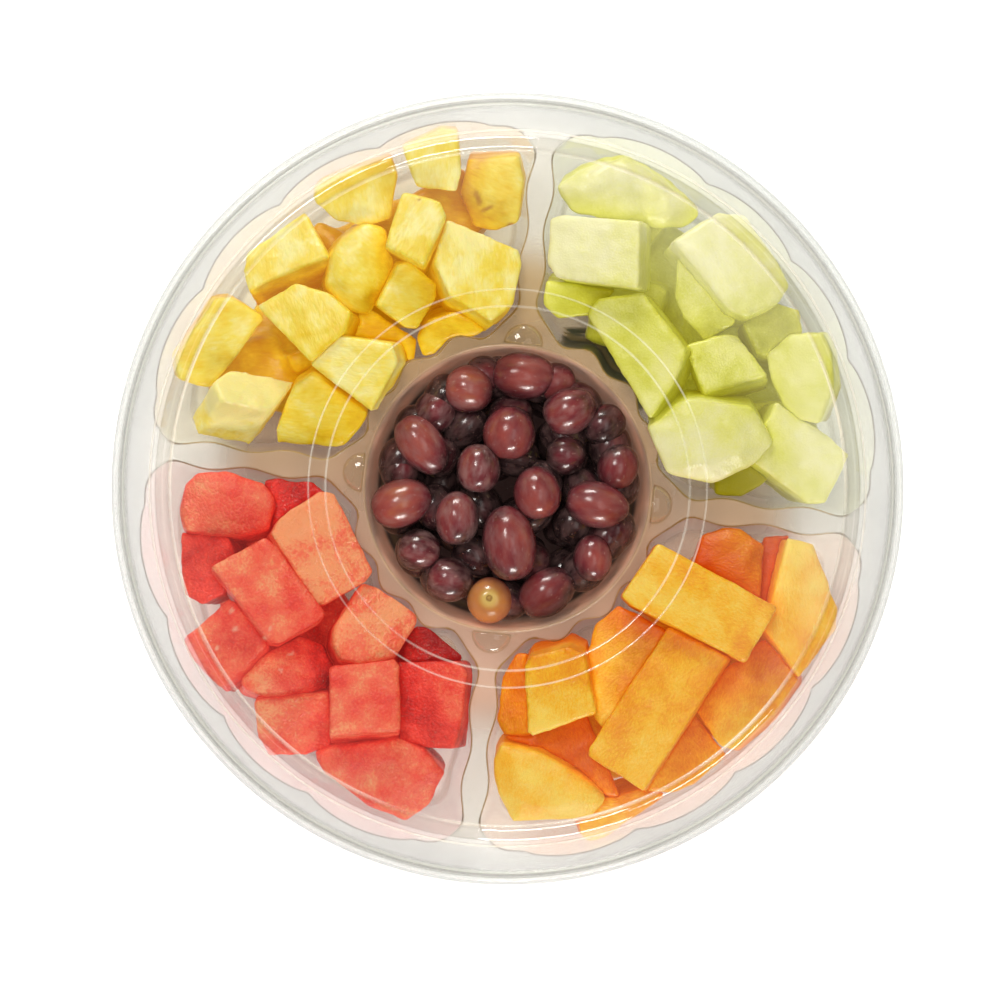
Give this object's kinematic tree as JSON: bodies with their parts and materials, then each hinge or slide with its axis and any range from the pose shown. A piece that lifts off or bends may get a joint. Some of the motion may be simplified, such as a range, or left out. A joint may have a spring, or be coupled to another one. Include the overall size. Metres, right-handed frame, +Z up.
{
  "type": "fruit platter",
  "caption": "Round clear compartment tray with its dome lid clipped on, filled with cut pineapple, honeydew, watermelon and cantaloupe round a middle well of red grapes.",
  "frame": {"origin": "on the table, under the middle of the round tray", "axes": "+Z up; the dividers between the four outer wells run along X and Y, with honeydew in the +X +Y quarter, pineapple -X +Y, watermelon -X -Y and cantaloupe +X -Y"},
  "size_m": [0.305, 0.305, 0.0668],
  "materials": {
    "clear_tray": "clear thermoformed sheet",
    "clear_lid": "clear thermoformed sheet",
    "pineapple": "moist fibrous flesh",
    "honeydew": "moist smooth flesh",
    "watermelon": "moist grainy flesh",
    "cantaloupe": "moist smooth flesh",
    "grape": "waxy skin"
  },
  "bodies": {
    "root": {"tray": "clear_tray", "lid": "clear_lid", "grapes": "grape", "pineapple_1": "pineapple", "pineapple_2": "pineapple", "pineapple_3": "pineapple", "pineapple_4": "pineapple", "pineapple_5": "pineapple", "pineapple_6": "pineapple", "pineapple_7": "pineapple", "pineapple_8": "pineapple", "pineapple_9": "pineapple", "pineapple_10": "pineapple", "pineapple_11": "pineapple", "pineapple_12": "pineapple", "pineapple_13": "pineapple", "pineapple_14": "pineapple", "pineapple_15": "pineapple", "pineapple_bed": "pineapple", "honeydew_1": "honeydew", "honeydew_2": "honeydew", "honeydew_3": "honeydew", "honeydew_4": "honeydew", "honeydew_5": "honeydew", "honeydew_6": "honeydew", "honeydew_7": "honeydew", "honeydew_8": "honeydew", "honeydew_9": "honeydew", "honeydew_10": "honeydew", "honeydew_11": "honeydew", "honeydew_12": "honeydew", "honeydew_bed": "honeydew", "watermelon_1": "watermelon", "watermelon_2": "watermelon", "watermelon_3": "watermelon", "watermelon_4": "watermelon", "watermelon_5": "watermelon", "watermelon_6": "watermelon", "watermelon_7": "watermelon", "watermelon_8": "watermelon", "watermelon_9": "watermelon", "watermelon_10": "watermelon", "watermelon_11": "watermelon", "watermelon_12": "watermelon", "watermelon_13": "watermelon", "watermelon_bed": "watermelon", "cantaloupe_1": "cantaloupe", "cantaloupe_2": "cantaloupe", "cantaloupe_3": "cantaloupe", "cantaloupe_4": "cantaloupe", "cantaloupe_5": "cantaloupe", "cantaloupe_6": "cantaloupe", "cantaloupe_7": "cantaloupe", "cantaloupe_8": "cantaloupe", "cantaloupe_9": "cantaloupe", "cantaloupe_10": "cantaloupe", "cantaloupe_11": "cantaloupe", "cantaloupe_12": "cantaloupe", "cantaloupe_13": "cantaloupe", "cantaloupe_bed": "cantaloupe"}
  },
  "joints": []
}
